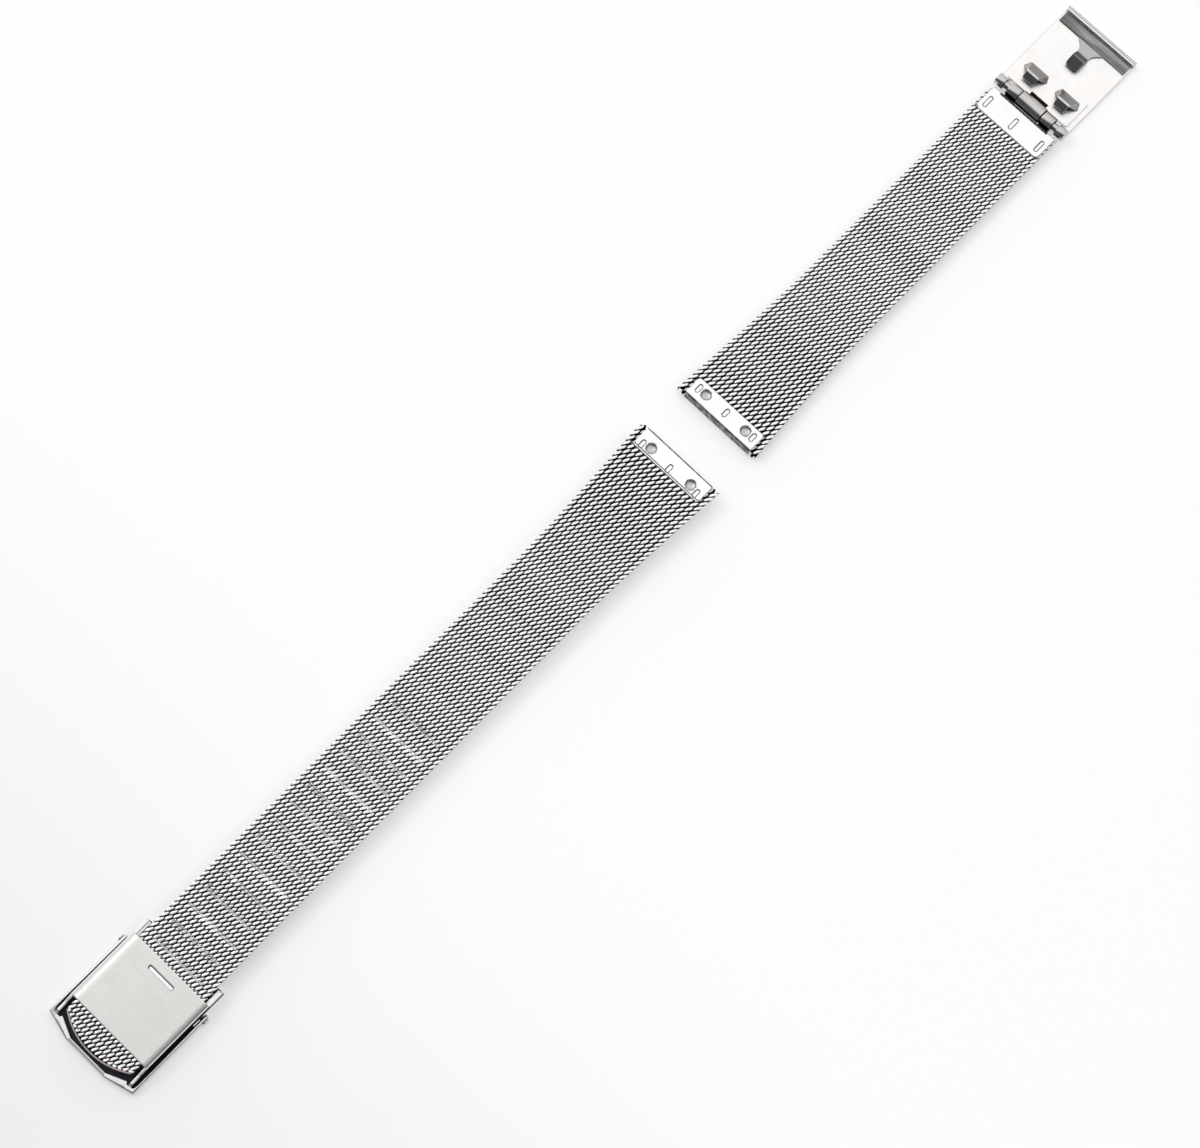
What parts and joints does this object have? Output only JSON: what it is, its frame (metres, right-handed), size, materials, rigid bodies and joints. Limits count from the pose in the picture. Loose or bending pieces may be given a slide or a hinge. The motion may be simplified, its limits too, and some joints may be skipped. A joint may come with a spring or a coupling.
{
  "type": "watch bracelet",
  "caption": "Woven steel mesh watch bracelet in two halves, with a sliding clasp locked by a lever and a hinged cover that hooks on to it.",
  "frame": {"origin": "under the middle of the laid-out bracelet, on the surface that it lies on", "axes": "+X along the straps from the slider to the cover, +Y across them, +Z from the outer side to the skin side"},
  "size_m": [0.2152, 0.0174, 0.003],
  "materials": {
    "woven_mesh": "flattened stainless wire, satin",
    "satin_plate": "fine satin stainless sheet",
    "polished_frame": "polished stainless",
    "hinge_steel": "turned and rolled, grey",
    "cover_sheet": "plain rolled stainless sheet",
    "hook_steel": "pressed stainless sheet with grey hooks",
    "spring_steel": "dark brushed spring sheet"
  },
  "bodies": {
    "grooved_strap": {"mesh_grooved": "woven_mesh", "tail_rim": "satin_plate"},
    "long_link_a": {"long_mesh_a": "woven_mesh"},
    "long_link_b": {"long_mesh_b": "woven_mesh"},
    "long_link_c": {"long_mesh_c": "woven_mesh"},
    "long_watch_end": {"long_mesh_watch_end": "woven_mesh", "long_end_plate": "satin_plate"},
    "short_watch_end": {"short_mesh_watch_end": "woven_mesh", "short_end_plate": "satin_plate"},
    "short_link_a": {"short_mesh_a": "woven_mesh"},
    "short_link_b": {"short_mesh_b": "woven_mesh"},
    "short_link_c": {"short_mesh_c": "woven_mesh"},
    "short_hinge_end": {"short_mesh_hinge_end": "woven_mesh", "clamp_plate": "satin_plate", "hinge_leaf": "hinge_steel"},
    "cover": {"cover_plate": "cover_sheet", "hook_plate": "hook_steel", "hinge_pin": "hinge_steel", "catch_spring_bar": "spring_steel"},
    "tongue": {"catch_tongue": "spring_steel"},
    "slider": {"slider_body": "polished_frame", "slider_skin_plate": "satin_plate", "slider_rivets": "polished_frame"},
    "lever": {"lock_lever": "polished_frame"}
  },
  "joints": [
    {"name": "long_flex_1", "type": "hinge", "parent": "grooved_strap", "child": "long_link_a", "pos_m": [-0.03535, 0, 0.0018], "axis": [0, -1, 0], "range_deg": [-20, 35]},
    {"name": "long_flex_2", "type": "hinge", "parent": "long_link_a", "child": "long_link_b", "pos_m": [-0.02335, 0, 0.0018], "axis": [0, -1, 0], "range_deg": [-20, 35]},
    {"name": "long_flex_3", "type": "hinge", "parent": "long_link_b", "child": "long_link_c", "pos_m": [-0.01135, 0, 0.0018], "axis": [0, -1, 0], "range_deg": [-20, 35]},
    {"name": "long_flex_4", "type": "hinge", "parent": "long_link_c", "child": "long_watch_end", "pos_m": [0.00065, 0, 0.0018], "axis": [0, -1, 0], "range_deg": [-20, 35]},
    {"name": "watch_gap_slide", "type": "slide", "parent": "long_watch_end", "child": "short_watch_end", "axis": [1, 0, 0], "range_m": [0, 0.03]},
    {"name": "short_flex_1", "type": "hinge", "parent": "short_watch_end", "child": "short_link_a", "pos_m": [0.03555, 0, 0.0009], "axis": [0, -1, 0], "range_deg": [-20, 35]},
    {"name": "short_flex_2", "type": "hinge", "parent": "short_link_a", "child": "short_link_b", "pos_m": [0.04855, 0, 0.0009], "axis": [0, -1, 0], "range_deg": [-20, 35]},
    {"name": "short_flex_3", "type": "hinge", "parent": "short_link_b", "child": "short_link_c", "pos_m": [0.06155, 0, 0.0009], "axis": [0, -1, 0], "range_deg": [-20, 35]},
    {"name": "short_flex_4", "type": "hinge", "parent": "short_link_c", "child": "short_hinge_end", "pos_m": [0.07455, 0, 0.0009], "axis": [0, -1, 0], "range_deg": [-20, 35]},
    {"name": "cover_hinge", "type": "hinge", "parent": "short_hinge_end", "child": "cover", "pos_m": [0.0911, 0, 0.0013], "axis": [0, 1, 0], "range_deg": [-10, 90]},
    {"name": "tongue_flex", "type": "hinge", "parent": "cover", "child": "tongue", "pos_m": [0.10475, 0, 0.00065], "axis": [0, -1, 0], "range_deg": [0, 4], "stiffness_Nm_per_rad": 0.34},
    {"name": "slider_travel", "type": "slide", "parent": "grooved_strap", "child": "slider", "axis": [1, 0, 0], "range_m": [0, 0.05085]},
    {"name": "lever_hinge", "type": "hinge", "parent": "slider", "child": "lever", "pos_m": [-0.09225, 0, 0.00062], "axis": [0, -1, 0], "range_deg": [0, 75]}
  ]
}
